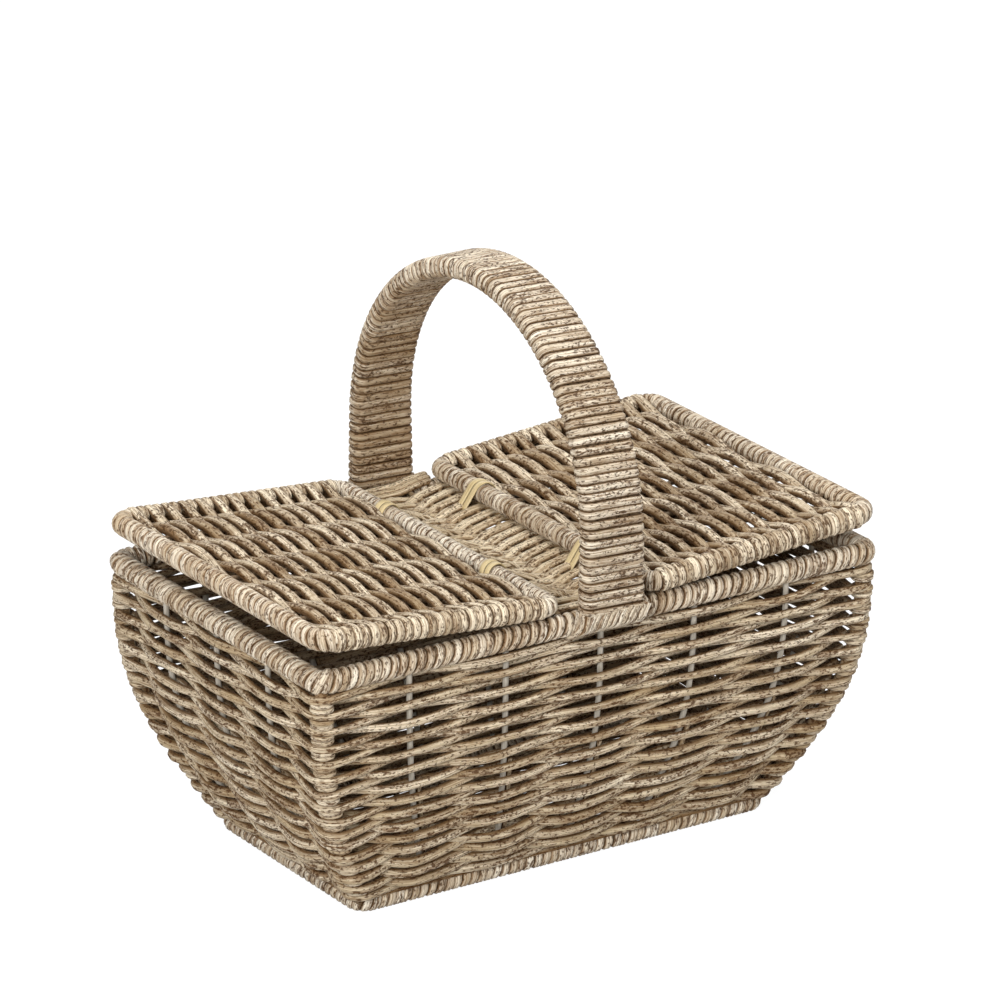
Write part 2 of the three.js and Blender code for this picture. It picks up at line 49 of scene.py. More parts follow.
base_sink = 1.8  # from the ring's outer surface to the middle of its winding
core_tone = 0.1
bar_steps = (24, 16, 10)  # points on half a long side, half a short side and a corner
pattern_reach = 3000  # a strand may start anywhere on this length of the cane's pattern
chance = np.random.default_rng(41)


def unit(v):
    """Vectors of length one along the last axis."""
    return v / np.linalg.norm(v, axis=-1, keepdims=True)


def points(x, y, z):
    """Points or directions, from coordinates that are numbers or arrays of shapes that fit."""
    return np.stack(np.broadcast_arrays(x, y, z), -1)


def lay(path, lift, width, thickness, sides=8, loop=False, tone=0.5):
    """Strands swept along their paths, arrays of strand x point x 3 in mm. At angle t a
    strand's surface is path + across * width/2 * cos t + up * thickness/2 * sin t, with up
    the lift made square to the path and across square to both. A loop ends where it starts."""
    path = np.asarray(path, float)
    count, points = path.shape[:2]
    before, after = np.roll(path, 1, 1), np.roll(path, -1, 1)
    if not loop:
        before[:, 0], after[:, -1] = path[:, 0], path[:, -1]
    along = unit(after - before)
    across = unit(np.cross(along, np.broadcast_to(lift, path.shape)))
    up = np.cross(across, along)
    turn = (np.arange(sides) + 0.5) / sides
    wide, thick = (np.broadcast_to(x, (count, points))[..., None, None] / 2 for x in (width, thickness))
    rings = path[:, :, None] + across[:, :, None] * wide * np.cos(2 * np.pi * turn)[:, None]
    rings = rings + up[:, :, None] * thick * np.sin(2 * np.pi * turn)[:, None]
    steps = points if loop else points - 1
    s, i, j = np.meshgrid(np.arange(count), np.arange(steps), np.arange(sides), indexing="ij")
    number = lambda i, j: (s * points + i % points) * sides + j % sides
    quads = np.stack([number(i, j), number(i + 1, j), number(i + 1, j + 1), number(i, j + 1)], -1)
    run = np.linalg.norm(np.roll(path, -1, 1) - path, axis=-1)
    run = np.concatenate([np.zeros((count, 1)), np.cumsum(run, 1)], 1)
    run = run + chance.uniform(0, pattern_reach, (count, 1))
    u = np.stack([run[s, i], run[s, i + 1], run[s, i + 1], run[s, i]], -1) / 1000
    v = (np.stack([j, j, j + 1, j + 1], -1) + 0.5) / sides
    quads, uv = quads.reshape(-1, 4), np.stack([u, v], -1).reshape(-1, 4, 2)
    if not loop:
        k = np.arange(sides // 2 - 1)
        cap = np.stack([k, k + 1, sides - 2 - k, sides - 1 - k], -1)
        first = (np.arange(count) * points * sides)[:, None, None]
        ends = [first + cap, first + (points - 1) * sides + cap[:, ::-1]]
        rims = [run[:, 0], run[:, points - 1]]
        for end, rim, corner in zip(ends, rims, (cap, cap[:, ::-1])):
            quads = np.concatenate([quads, end.reshape(-1, 4)])
            at = np.broadcast_to(rim[:, None, None] / 1000, end.shape)
            around = np.broadcast_to((corner + 0.5) / sides, end.shape)
            uv = np.concatenate([uv, np.stack([at, around], -1).reshape(-1, 4, 2)])
    shade = np.broadcast_to(tone, (count, points))[..., None] + np.zeros(sides)
    return {"co": rings.reshape(-1, 3), "quads": quads, "uv": uv, "tone": shade.ravel()}


def piece(name, strands, finish, body, nodes=()):
    """One object in metres from laid strands, riding on a body and standing for CAD nodes."""
    first = np.cumsum([0] + [len(p["co"]) for p in strands])
    co = np.concatenate([p["co"] for p in strands]) / 1000
    quads = np.concatenate([p["quads"] + n for p, n in zip(strands, first)]).astype(np.int32)
    mesh = bpy.data.meshes.new(name)
    mesh.vertices.add(len(co))
    mesh.vertices.foreach_set("co", co.astype(np.float32).ravel())
    mesh.loops.add(quads.size)
    mesh.loops.foreach_set("vertex_index", quads.ravel())
    mesh.polygons.add(len(quads))
    mesh.polygons.foreach_set("loop_start", np.arange(0, quads.size, 4, dtype=np.int32))
    mesh.polygons.foreach_set("use_smooth", np.ones(len(quads), bool))
    uv = np.concatenate([p["uv"] for p in strands]).astype(np.float32)
    mesh.uv_layers.new(name="along").data.foreach_set("uv", uv.ravel())
    tone = np.concatenate([p["tone"] for p in strands]).astype(np.float32)
    mesh.attributes.new("tone", "FLOAT", "POINT").data.foreach_set("value", tone)
    mesh.update(calc_edges=True)
    mesh.validate()
    made = bpy.data.objects.new(name, mesh)
    bpy.context.scene.collection.objects.link(made)
    mesh.materials.append(finish)
    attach(made, body)
    if nodes:
        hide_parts(*nodes)
    return made


def rounded_walk(flat_a, flat_b, arc):
    """Once round a rounded rectangle with half sides a and b and corner radius r, as arrays
    ca, cb, na, nb: the point is (ca (a - r) + na r, cb (b - r) + nb r), and (na, nb) points out."""
    walk = []
    for quarter in range(4):
        sa, sb = [(1, 1), (-1, 1), (-1, -1), (1, -1)][quarter]
        rise, fall = np.arange(flat_b) / flat_b, np.arange(flat_a) / flat_a
        if quarter % 2:
            rise, fall = fall, rise
        out, turn = quarter * np.pi / 2, (quarter + np.arange(arc) / arc) * np.pi / 2
        first, last = np.ones_like(rise), np.ones_like(fall)
        flat = [first * sa, rise * sb] if quarter % 2 == 0 else [rise * sa, first * sb]
        end = [(1 - fall) * sa, last * sb] if quarter % 2 == 0 else [last * sa, (1 - fall) * sb]
        walk.append(np.stack([*flat, first * np.cos(out), first * np.sin(out)]))
        walk.append(np.stack([sa + 0 * turn, sb + 0 * turn, np.cos(turn), np.sin(turn)]))
        out += np.pi / 2
        walk.append(np.stack([*end, last * np.cos(out), last * np.sin(out)]))
    return np.concatenate(walk, 1)


def level_bar(length, width, corner, height):
    """Centre line of a bar bent into a level rounded rectangle: its points, the direction
    out of the rectangle, the direction up, and how many more turns its corners take."""
    ca, cb, na, nb = rounded_walk(*bar_steps)
    x = ca * (length / 2 - corner) + na * corner
    y = cb * (width / 2 - corner) + nb * corner
    crowd = np.where(np.abs(na * nb) > 0.01, 1.5, 1)
    bar = (points(x, y, height), points(na, nb, 0), points(0 * x, 0, 1), crowd)
    return tuple(np.concatenate([a, a[:1]]) for a in bar)


def wind(bar, radius, pitch, width, thickness, loop=False, lean=0.0, steps=16, uneven=0.16, section=None):
    """Cane wound round a bar. With q the length along the bar and turn n starting at the sum
    of n uneven pitches, the strand's centre is bar(q) + out * radius cos 2 pi n + up * radius
    sin 2 pi n, sheared along the bar by lean * sin 2 pi n. A section gives another outline."""
    lean_spread, tones, widths = 0.35, (0.15, 0.85), (0.93, 1.07)
    line, out, up, crowd = bar
    run = np.concatenate([[0], np.cumsum(np.linalg.norm(np.diff(line, axis=0), axis=1))])
    work = np.concatenate([[0], np.cumsum(np.diff(run) * (crowd[1:] + crowd[:-1]) / 2)])
    turns = int(round(work[-1] / pitch))
    ends = np.concatenate([[0], np.cumsum(chance.uniform(1 - uneven, 1 + uneven, turns))])
    ends *= work[-1] / ends[-1]
    n = np.arange(turns * steps + (0 if loop else 1)) / steps
    q = np.interp(np.interp(n, np.arange(turns + 1), ends), work, run)
    tilt = np.interp(n, np.arange(turns + 1), chance.normal(lean, lean_spread, turns + 1))
    at = lambda a, q: np.stack([np.interp(q, run, a[:, k]) for k in range(3)], -1)
    turn = 2 * np.pi * n
    shift = tilt * np.sin(turn) * (1 if loop else np.minimum(1, np.minimum(n, turns - n)))
    centre = at(line, np.mod(q + shift, run[-1]) if loop else np.clip(q + shift, 0, run[-1]))
    a, b = unit(at(out, q)), unit(at(up, q))
    if section is None:
        pa, pb, na, nb = radius * np.cos(turn), radius * np.sin(turn), np.cos(turn), np.sin(turn)
    else:
        pa, pb, na, nb = section(np.arange(len(n)) % steps, q)
    path = centre + pa[:, None] * a + pb[:, None] * b
    lift = na[:, None] * a + nb[:, None] * b
    hue = np.interp(n, np.arange(turns + 1), chance.uniform(*tones, turns + 1))
    wide = width * np.interp(n, np.arange(turns + 1), chance.uniform(*widths, turns + 1))
    return lay(path[None], lift[None], wide[None], thickness, loop=loop, tone=hue[None])


class Value:
    """A node's output. Arithmetic with numbers and other values adds Math nodes."""

    def __init__(self, finish, socket):
        self.finish, self.socket = finish, socket

    def __add__(self, other):
        return self.finish.math("ADD", self, other)

    def __sub__(self, other):
        return self.finish.math("SUBTRACT", self, other)

    def __rsub__(self, other):
        return self.finish.math("SUBTRACT", other, self)

    def __mul__(self, other):
        return self.finish.math("MULTIPLY", self, other)

    __radd__, __rmul__ = __add__, __mul__


class Finish:
    """A material under construction: a Principled shader and the nodes that feed it."""

    def __init__(self, name, **constants):
        self.material = bpy.data.materials.new(name)
        self.material.use_nodes = True
        self.nodes = self.material.node_tree.nodes
        self.shader = self.nodes["Principled BSDF"]
        for socket, value in constants.items():
            self.shader.inputs[socket.replace("_", " ")].default_value = value

    def node(self, kind, settings={}, inputs={}, output=0):
        """One node of a kind, its settings and ramp stops first, then its sockets."""
        made = self.nodes.new("ShaderNode" + kind)
        for key, value in settings.items():
            if key == "stops":
                for element, (place, level) in zip(made.color_ramp.elements, value):
                    element.position, element.color = place, (level, level, level, 1)
            else:
                setattr(made, key, value)
        for key, value in inputs.items():
            self.join(value, made.inputs[key])
        return Value(self, made.outputs[output])

    def join(self, value, socket):
        if isinstance(value, Value):
            self.material.node_tree.links.new(value.socket, socket)
        else:
            socket.default_value = value

    def math(self, operation, a, b=0.0):
        return self.node("Math", {"operation": operation}, {0: a, 1: b})

    def mix(self, factor, a, b):
        """a where the factor is 0 and b where it is 1, each a value or a red, green and blue."""
        a, b = ((*colour, 1) if isinstance(colour, tuple) else colour for colour in (a, b))
        return self.node("Mix", {"data_type": "RGBA"}, {0: factor, 6: a, 7: b}, 2)

    def mask(self, value, low, high):
        """0 below low and 1 above high, or the other way round where high is below low."""
        return self.node("MapRange", {}, {"Value": value, "From Min": low, "From Max": high})

    def done(self, **links):
        for socket, value in links.items():
            self.join(value, self.shader.inputs[socket.replace("_", " ")])
        return self.material


def cane(name, pale, tan, wash, brown, mottle, painted_shade_band):
    """Rattan: pale to tan by strand and in patches, with faint fibres along it, brown
    blotches where the bark was and dark specks. Painted shade: its flanks, where strands
    meet, turn brown and then dark as the sine of the angle round the strand falls from
    the first to the second number of the band it is given, and its back, turned in or
    down, is painted browner. u runs along the strand in metres and v once round it, so the
    pattern is a solid one in (u, cos v, sin v)."""
    f = Finish(name, Specular_IOR_Level=0.12)
    lay_map = f.node("UVMap", {"uv_map": "along"})
    u = f.node("SeparateXYZ", {}, {0: lay_map}, 0)
    turn = f.node("SeparateXYZ", {}, {0: lay_map}, 1) * (2 * math.pi)
    c, s = f.math("COSINE", turn), f.math("SINE", turn)
    strand_radius = 2.5

    def grain(length, width, detail, shift=0.0):
        """Noise whose features are about that long and wide on the strand, in mm."""
        along, round_it = u * (1000 / length) + shift, strand_radius / width
        where = f.node("CombineXYZ", {}, {0: along, 1: c * round_it, 2: s * round_it})
        settings = {"Vector": where, "Scale": 1.0, "Detail": detail, "Roughness": 0.55}
        return f.node("TexNoise", {}, settings)

    tone = f.node("Attribute", {"attribute_name": "tone"}, {}, "Fac")
    fibre = grain(length=30, width=0.6, detail=2)
    patch = grain(length=30, width=5, detail=1, shift=31)
    blotch = grain(length=5, width=1.5, detail=3, shift=57)
    speck = grain(length=2, width=1, detail=1, shift=83)
    base = f.mix(f.mask(tone * 0.8 + patch - 0.4, 0.05, 0.9), tan, pale)
    lines = f.mask(fibre + blotch * 0.3, 0.72, 0.53)
    base = f.mix(lines * 0.72, base, wash)
    more = 0.05 * mottle
    washed = f.mask(blotch + patch * 0.45 - tone * 0.12, 0.70 - more, 0.86 - more)
    base = f.mix(washed * 0.7, base, wash)
    # Painted shade: the flanks, where strands meet, and the back are mixed towards the brown wash.
    high, low = painted_shade_band
    face = f.math("ABSOLUTE", s)
    base = f.mix(f.mask(face + blotch * 0.4 - 0.2, high, low) * 0.85, base, wash)
    base = f.mix(f.mask(s, 0.0, -0.5) * 0.6, base, wash)
    specks = f.mask(speck + blotch * 0.5 + patch * 0.3, 1.005 - more, 1.09 - more)
    # The dark brown here is the specks, together with painted shade deepest in the flanks.
    specks_and_shade = f.math("MAXIMUM", specks * 0.8, f.mask(face, low, low - 0.5) * 0.75)
    height = fibre * 0.7 - washed * 0.2 - specks * 0.35
    normal = f.node("Bump", {}, {"Strength": 0.6, "Distance": 0.0007, "Height": height})
    return f.done(Base_Color=f.mix(specks_and_shade, base, brown), Roughness=specks_and_shade * 0.25 + 0.55, Normal=normal)


wound_cane = cane("wound_cane", pale=(0.89, 0.815, 0.675), tan=(0.57, 0.46, 0.315),
                  wash=(0.20, 0.11, 0.045), brown=(0.055, 0.021, 0.005), mottle=0.8, painted_shade_band=(0.72, 0.42))
base_bar = level_bar(base_length, base_width, base_corner, base_height)
base_line, base_up = base_bar[0][None, :-1], base_bar[2][None, :-1]
ring_core = lay(base_line, base_up, base_core, base_core, loop=True, tone=core_tone)
ring_winding = wind(base_bar, base_radius - base_sink, pitch=6.0, width=5.9, thickness=3.7,
                    loop=True, lean=0.8)
for part in (ring_core, ring_winding):
    part["co"][:, 2] = np.maximum(part["co"][:, 2], 0)
piece("base_ring_winding", [ring_core, ring_winding], wound_cane, "basket", ["base_ring"])

# Base. Round rods cross the ring underneath, and canes run the length of the
# basket over and under them, pushed close together. It isn't seen in the
# photograph and follows the way the lids are woven.
base_reach = base_length / 2 - base_radius - 0.5  # half the length between the ring's bars
base_span = base_width / 2 - base_radius - 0.5
base_edge = 3  # from the bars to the outermost canes
base_middle = 6.9
base_stake_pitch = 41
base_wave = 1.8
base_stray = 0.4
base_weavers = 27
base_points = 90
base_rod_points = 12


def weave(phase, amount):
    """Height of a weaver that goes over and under stakes: amount * cos(pi * phase), where the
    phase grows by one from stake to stake."""
    return amount * np.cos(np.pi * phase)


base_x = np.linspace(-base_reach, base_reach, base_points)
base_y = np.linspace(-base_span + base_edge, base_span - base_edge, base_weavers)[:, None]
parity = (np.arange(base_weavers) % 2)[:, None]
base_z = base_middle + weave(base_x / base_stake_pitch + parity, base_wave)
base_path = points(base_x, base_y + base_stray * np.sin(base_x / 19 + base_y / 25), base_z)
base_tone = chance.uniform(0.1, 0.9, (base_weavers, 1))
base_strands = lay(base_path, [0, 0, 1], width=6.4, thickness=3.8, tone=base_tone)
rod_y = np.linspace(-base_span - 1, base_span + 1, base_rod_points)
rod_x = (np.arange(-3, 4) * base_stake_pitch)[:, None]
body_cane = cane("body_cane", pale=(0.87, 0.77, 0.595), tan=(0.49, 0.38, 0.23),
                 wash=(0.185, 0.10, 0.038), brown=(0.06, 0.021, 0.005), mottle=1.2, painted_shade_band=(0.69, 0.22))
base_rods = lay(points(rod_x, rod_y, base_middle), [0, 0, 1], width=3.6, thickness=3.0, tone=0.4)
piece("base_weave", [base_strands, base_rods], body_cane, "basket", ["base_panel"])

# Wall stakes. Pale grey rods stand in the base ring, five to a long side and
# three to an end, and bow outwards to the rim. Short brown canes are pushed in
# beside them at the bottom.
rim_length = 407
rim_width = 244
rim_height = 179
wall_bottom = 11.5
wall_top = 171.4
flare_power = 3.3
flare_skew = 1.5
long_stakes = 5
long_stake_pitch = 70  # at the rim, as the ends' pitch is
end_stakes = 3
end_stake_pitch = 61
stake_thickness = 3.8
stake_foot = 4  # how far a stake goes into the base ring
stake_head = 3  # and into the rim
short_top = 92
short_beside = 4.6  # from a stake's middle to its short cane's
short_heights = (0.86, 1.1)  # least and greatest share of that height
long_places = (np.arange(long_stakes) - 2) * long_stake_pitch / (rim_length / 2)
end_places = (np.arange(end_stakes) - 1) * end_stake_pitch / (rim_width / 2)


def flare(z):
    """Share of the flare from base to rim at height z: 1 - (1 - r)^power (1 + skew r), with r
    the share of the height."""
    r = np.clip((z - base_height) / (rim_height - base_height), 0, 1)
    return 1 - (1 - r) ** flare_power * (1 + flare_skew * r)


def half_length(z):
    return (base_length + (rim_length - base_length) * flare(z)) / 2


def half_width(z):
    return (base_width + (rim_width - base_width) * flare(z)) / 2


def grey_rods(name, specks_and_shade=(0.33, 0.295, 0.24), light=(0.46, 0.42, 0.355), mark=(0.20, 0.165, 0.12)):
    """Peeled rod: plain, with faint fibres up it and a few darker marks."""
    f = Finish(name, Specular_IOR_Level=0.15)
    spot = f.node("TexCoord", {}, {}, "Object")
    stretch = f.node("Mapping", {}, {"Vector": spot, "Scale": (900, 900, 120)})
    fibre = f.node("TexNoise", {}, {"Vector": stretch, "Scale": 1.0, "Detail": 3.0})
    marks = f.node("TexNoise", {}, {"Vector": spot, "Scale": 160.0, "Detail": 3.0})
    colour = f.mix(f.mask(fibre, 0.35, 0.65), specks_and_shade, light)
    colour = f.mix(f.mask(marks, 0.58, 0.72) * 0.5, colour, mark)
    normal = f.node("Bump", {}, {"Strength": 0.3, "Distance": 0.0004, "Height": fibre})
    return f.done(Base_Color=colour, Roughness=fibre * 0.2 + 0.5, Normal=normal)


stake_grey = grey_rods("stake_grey")
stake_z = np.linspace(wall_bottom - stake_foot, wall_top + stake_head, 26)
short_z = np.linspace(wall_bottom, short_top, 14)
stake_paths, stake_lifts, short_paths = [], [], []
for side in (-1, 1):
    for place in long_places:
        stake_paths.append(points(place * half_length(stake_z), side * half_width(stake_z), stake_z))
        stake_lifts.append([0, side, 0])
        climbed = short_z * chance.uniform(*short_heights)
        x, y = place * half_length(short_z) + short_beside, side * half_width(short_z)
        short_paths.append(points(x, y, climbed))
    for place in end_places:
        stake_paths.append(points(side * half_length(stake_z), place * half_width(stake_z), stake_z))
        stake_lifts.append([side, 0, 0])
        climbed = short_z * chance.uniform(*short_heights)
        x, y = side * half_length(short_z), place * half_width(short_z) + short_beside
        short_paths.append(points(x, y, climbed))
lifts = np.array(stake_lifts, float)[:, None]
stakes_in = {"front": long_stakes, "back": long_stakes, "left": end_stakes, "right": end_stakes}
stake_nodes = [f"stake_{wall}_{i + 1}" for wall, count in stakes_in.items() for i in range(count)]
stakes = lay(stake_paths, lifts, stake_thickness, stake_thickness, sides=10)
piece("wall_stakes", [stakes], stake_grey, "basket", stake_nodes)
short_tone = chance.uniform(0, 0.4, (len(short_paths), 1))
short_stakes = lay(short_paths, lifts, width=3.4, thickness=3.2, tone=short_tone)
piece("short_stakes", [short_stakes], body_cane, "basket")

# Wall weave. Round canes go once round the basket, in front of one stake and
# behind the next, each row the other way about from the one below. They are
# packed harder towards the base, where they sag over the stakes, and at the back.
row_count = 31
row_width = 5.8
row_thickness = 5.2
stake_amount = 3.6  # how far a row swings out past a stake
post_outside = 3.4  # the same at a corner post, for the rows that pass outside it
post_inside = 7.6
corner_radius = 8
corner_stations = (0.985, 0.975)  # where a row crosses over at the corners, as shares of a side
lowest_amount = 0.6
packed_from, packed_over = 120, 70  # rows are packed ever harder below this height
long_post_from, end_post_from = 0.69, 0.5  # shares of a side from where a row nears a post's swing
any_angle = 6.3
seat_height = 10.4  # one more cane lies here and fills the joint with the base ring
reach_z = np.linspace(wall_bottom, wall_top, 400)
climb = np.concatenate([[0], np.cumsum(np.hypot(np.diff(half_width(reach_z)), np.diff(reach_z)))])
row_z = np.interp((np.arange(row_count) + 0.5) / row_count * climb[-1], climb, reach_z)
ca, cb, na, nb = rounded_walk(46, 28, 7)
walk_angle = np.linspace(0, 2 * np.pi, len(ca), endpoint=False)


def round_walls(z):
    """Once round the walls at height z, in plan: x and y of the rounded rectangle there."""
    x = ca * (half_length(z) - corner_radius) + na * corner_radius
    y = cb * (half_width(z) - corner_radius) + nb * corner_radius
    return x, y


def wander(spread, waves):
    """Slow unevenness along each row: the sum over k in waves of a * sin(k * angle + b), with
    a drawn about zero and b anywhere, afresh for each row and wave."""
    total = 0
    for k in waves:
        amount = chance.normal(0, spread, (row_count, 1))
        total = total + amount * np.sin(k * walk_angle + chance.uniform(0, any_angle, (row_count, 1)))
    return total


heights = row_z[:, None]
ring_x, ring_y = round_walls(heights)
along_long, along_end = ring_x / half_length(heights), ring_y / half_width(heights)
long_stations = np.concatenate([[-corner_stations[0]], long_places, [corner_stations[0]]])
end_stations = np.concatenate([[-corner_stations[1]], end_places, [corner_stations[1]]])
long_phase = np.interp(along_long, long_stations, np.arange(long_stakes + 2))
end_phase = np.interp(along_end, end_stations, np.arange(end_stakes + 2))
on_long = np.abs(nb) > np.abs(na)
phase = np.where(on_long, long_phase, end_phase)
near_long_post = np.interp(np.abs(along_long), [long_post_from, 0.97], [0, 1])
near_end_post = np.interp(np.abs(along_end), [end_post_from, 0.96], [0, 1])
post_share = np.where(on_long, near_long_post, near_end_post)
sway = chance.uniform(0.85, 1.12, (row_count, 1))
sway[0] = lowest_amount
flip = np.where(np.arange(row_count) % 2, -1, 1)[:, None]
post_amount = np.where(flip > 0, post_outside, post_inside)
ring_amount = stake_amount * sway + (post_amount - stake_amount * sway) * post_share
push = flip * weave(phase, ring_amount)
rise = np.gradient(reach_z)
long_slope = np.interp(row_z, reach_z, np.gradient(half_width(reach_z)) / rise)[:, None]
end_slope = np.interp(row_z, reach_z, np.gradient(half_length(reach_z)) / rise)[:, None]
slope = na ** 2 * end_slope + nb ** 2 * long_slope
out = unit(points(na, nb, -slope))
waver = wander(0.32, (2, 3, 5, 8, 13, 21))
ring = points(ring_x, ring_y, heights) + out * push[..., None]
at_back = np.clip(nb, 0, 1)
packed = np.clip((packed_from - heights) / packed_over, 0, 1)
sag = (0.4 + 0.6 * packed) * (1 - 0.8 * at_back)
above_ring = np.clip((26 - heights) / 12, 0, 1)  # the lowest rows lie straighter on the ring
lift_off = waver * (1 - 0.6 * above_ring) - sag * push / stake_amount * (1 - 0.7 * above_ring)
ring[..., 2] += lift_off + 0.4 * above_ring
girth = 0.92 + 0.28 * packed - 0.03 * above_ring + 0.09 * at_back + 0.12 * np.abs(na) * (1 - packed)
girth = girth + wander(0.03, (3, 7, 12, 19))
ring_tone = 0.5 - 0.08 * packed + wander(0.11, (1, 2, 4, 6, 9))
rows = lay(ring, out, row_width * girth, row_thickness * girth, loop=True, tone=ring_tone)
seat_path = points(*round_walls(seat_height), seat_height)[None]
seat = lay(seat_path, [0, 0, 1], width=5.0, thickness=4.4, loop=True, tone=0.2)
piece("wall_weave", [rows, seat], body_cane, "basket", [f"wall_{wall}" for wall in stakes_in])

# Corner posts. A thicker cane stands in each corner and leans out with the
# walls. Where a row passes inside it, two turns of cane show round the post.
post_inset = 2.5
post_radius = 4.4
post_foot = 3
post_head = 2
turn_apart = 1.6  # from a row's height to either of the two turns
turn_depth = 1.3  # from the post's skin to the middle of a turn
post_z = np.linspace(wall_bottom - post_foot, wall_top + post_head, 24)
post_paths, turn_paths, turn_lifts = [], [], []
turn_angle = np.linspace(0, 2 * np.pi, 16, endpoint=False)
round_post = points(np.cos(turn_angle), np.sin(turn_angle), 0)


def post_line(z, sx, sy):
    """The middle of a corner post at height z, inside the corner with signs sx and sy."""
    return points(sx * (half_length(z) - post_inset), sy * (half_width(z) - post_inset), z)


for sx, sy in ((-1, -1), (-1, 1), (1, -1), (1, 1)):
    post_paths.append(post_line(post_z, sx, sy))
    for z in row_z[1::2]:
        for shift in (-turn_apart, turn_apart):
            middle = post_line(z + shift + chance.normal(0, 0.25), sx, sy)
            turn_paths.append(middle + round_post * (post_radius + turn_depth + chance.uniform(0, 0.5)))
            turn_lifts.append(round_post)
posts = lay(np.array(post_paths), [1, 0, 0], 2 * post_radius, 2 * post_radius, sides=10, tone=0.3)
turn_tone = chance.uniform(0.2, 0.9, (len(turn_paths), 1))
turns = lay(np.array(turn_paths), np.array(turn_lifts), width=3.5, thickness=3.0, loop=True, tone=turn_tone)
corner_nodes = [f"corner_post_{a}_{b}" for a in ("front", "back") for b in ("left", "right")]
piece("corner_posts", [posts, turns], body_cane, "basket", corner_nodes)

# Top rim. A thick rod bent round the top of the stakes and closely wound with
# split cane, which leans a little. At each corner one turn crosses the others.
rim_radius = 7.6
rim_corner = 9
rim_core_width = 10.4
rim_sink = 2.2
rim_bar = level_bar(rim_length, rim_width, rim_corner, rim_height)
rim_line, rim_up = rim_bar[0][None, :-1], rim_bar[2][None, :-1]
rim_core = lay(rim_line, rim_up, rim_core_width, rim_core_width, sides=10, loop=True, tone=core_tone)
rim_winding = wind(rim_bar, rim_radius - rim_sink, pitch=6.1, width=5.7, thickness=4.5, loop=True, lean=1.3)
crossings = []
long_steps, short_steps, corner_steps = bar_steps
for quarter in range(4):
    first = quarter * sum(bar_steps) + (long_steps if quarter % 2 else short_steps)
    line, out, up = (a[first:first + corner_steps + 1] for a in rim_bar[:3])
    bend = (line, -out, -up, np.ones(len(line)))
    crossings.append(wind(bend, rim_radius - 0.9, pitch=14.1, width=6.0, thickness=3.4))
piece("rim_winding", [rim_core, rim_winding, *crossings], wound_cane, "basket", ["top_rim"])

# Bridge strip. Four rods span the basket between the two lids, and short canes
# are woven across them and end under the hinge bars. They slant over the right
# half. Thin sprays cover the left half, and three canes lie on the back rim.
bridge_middle = 184
bridge_half = 113
bridge_rod_places = (-27, -9, 9, 27)
bridge_left, bridge_right = -33, 39  # ends of the canes that are woven across
bridge_pitch = 5.7
bridge_count = 39
bridge_points = 48
bridge_half_wave = 36
bridge_wave = 2.0
bridge_sink = 0.6
bridge_slant = 0.36  # how far a cane slants along the strip for each mm across it
thick_cane, thin_cane = 8.2, 6.4
cross_x = np.linspace(bridge_left, bridge_right, bridge_points)
bridge_y = ((np.arange(bridge_count) - (bridge_count - 1) / 2) * bridge_pitch)[:, None]
over = np.where(np.arange(bridge_count) % 2, 1, -1)[:, None]
wave = np.clip(np.sin(np.pi * cross_x / bridge_half_wave) * 1.4, -1, 1)
last_reach = 1 - 0.5 * np.clip((cross_x - 32) / 5, 0, 1)
hump = np.where(cross_x < 26, wave, last_reach) * over
beyond = np.clip((-cross_x - 27) / 6, 0, 1)
tuck = 2.8 * beyond ** 2
slant = bridge_slant * np.clip(cross_x, 0, 33) - 4
cross_z = bridge_middle - bridge_sink + hump * bridge_wave - tuck * (hump > 0)
cross_y = bridge_y + slant + chance.normal(0, 0.35, (bridge_count, 1))
cross_y = cross_y + cross_x * chance.normal(0, 0.018, (bridge_count, 1))
cross_tone = chance.uniform(0.35, 1.0, (bridge_count, 1))
swell = np.clip(1 - (-cross_x - 27) / 12, 0.6, 1)
stout = np.where((over > 0) & (cross_x > 0), thick_cane, thin_cane)
cross_path = points(cross_x, cross_y, cross_z)
bridge_strands = lay(cross_path, [0, 0, 1], stout * swell, 4.2 * swell, tone=cross_tone)
golden_cane = cane("golden_cane", pale=(0.89, 0.77, 0.565), tan=(0.59, 0.46, 0.285),
                   wash=(0.25, 0.145, 0.06), brown=(0.07, 0.027, 0.007), mottle=0.7, painted_shade_band=(0.65, 0.1))
piece("bridge_weave", [bridge_strands], golden_cane, "basket", ["bridge_panel"])

sprays = 7
slips = 4  # in a spray
spray_pitch = 31
slip_pitch = 2.6
slip_length = 38
spray_height = 186.6
first_slip_x, first_slip_y = -31.5, 104
stroke_from, stroke_to = -27, 31
stroke_fall = 1.2
rim_places = ((111, 186.3), (114.6, 187.8), (118.4, 188.9))  # y and z of the three over the back rim
slip_t = np.linspace(0, 1, 22)
slip_lift = 1.5 * np.sin(np.pi * np.clip(slip_t * 1.05, 0, 1))
slip_end = 2.5 * (slip_t > 0.9) * (slip_t - 0.9) * 10
slip_z = spray_height + slip_lift - slip_end
spray_paths = []
for k in range(sprays):
    for j in range(slips):
        start_y = first_slip_y - spray_pitch * k - slip_pitch * j + chance.normal(0, 0.8)
        length = slip_length + chance.normal(0, 2)
        x = first_slip_x + 2.2 * j + (13 + 2.4 * j) * slip_t ** 1.3
        spray_paths.append(points(x, start_y - length * slip_t, slip_z))
spray_paths = np.array(spray_paths)
spray_paths = spray_paths[spray_paths[:, -1, 1] > -bridge_half]
spray_tone = chance.uniform(0.5, 1.0, (len(spray_paths), 1))
sprays_laid = lay(spray_paths, [0, 0, 1], width=3.1, thickness=2.2, tone=spray_tone)
over_rim = np.linspace(stroke_from, stroke_to, 30)
rim_slant = bridge_slant * np.clip(over_rim, 0, stroke_to)
rim_fall = stroke_fall * (np.abs(over_rim) / stroke_to) ** 4
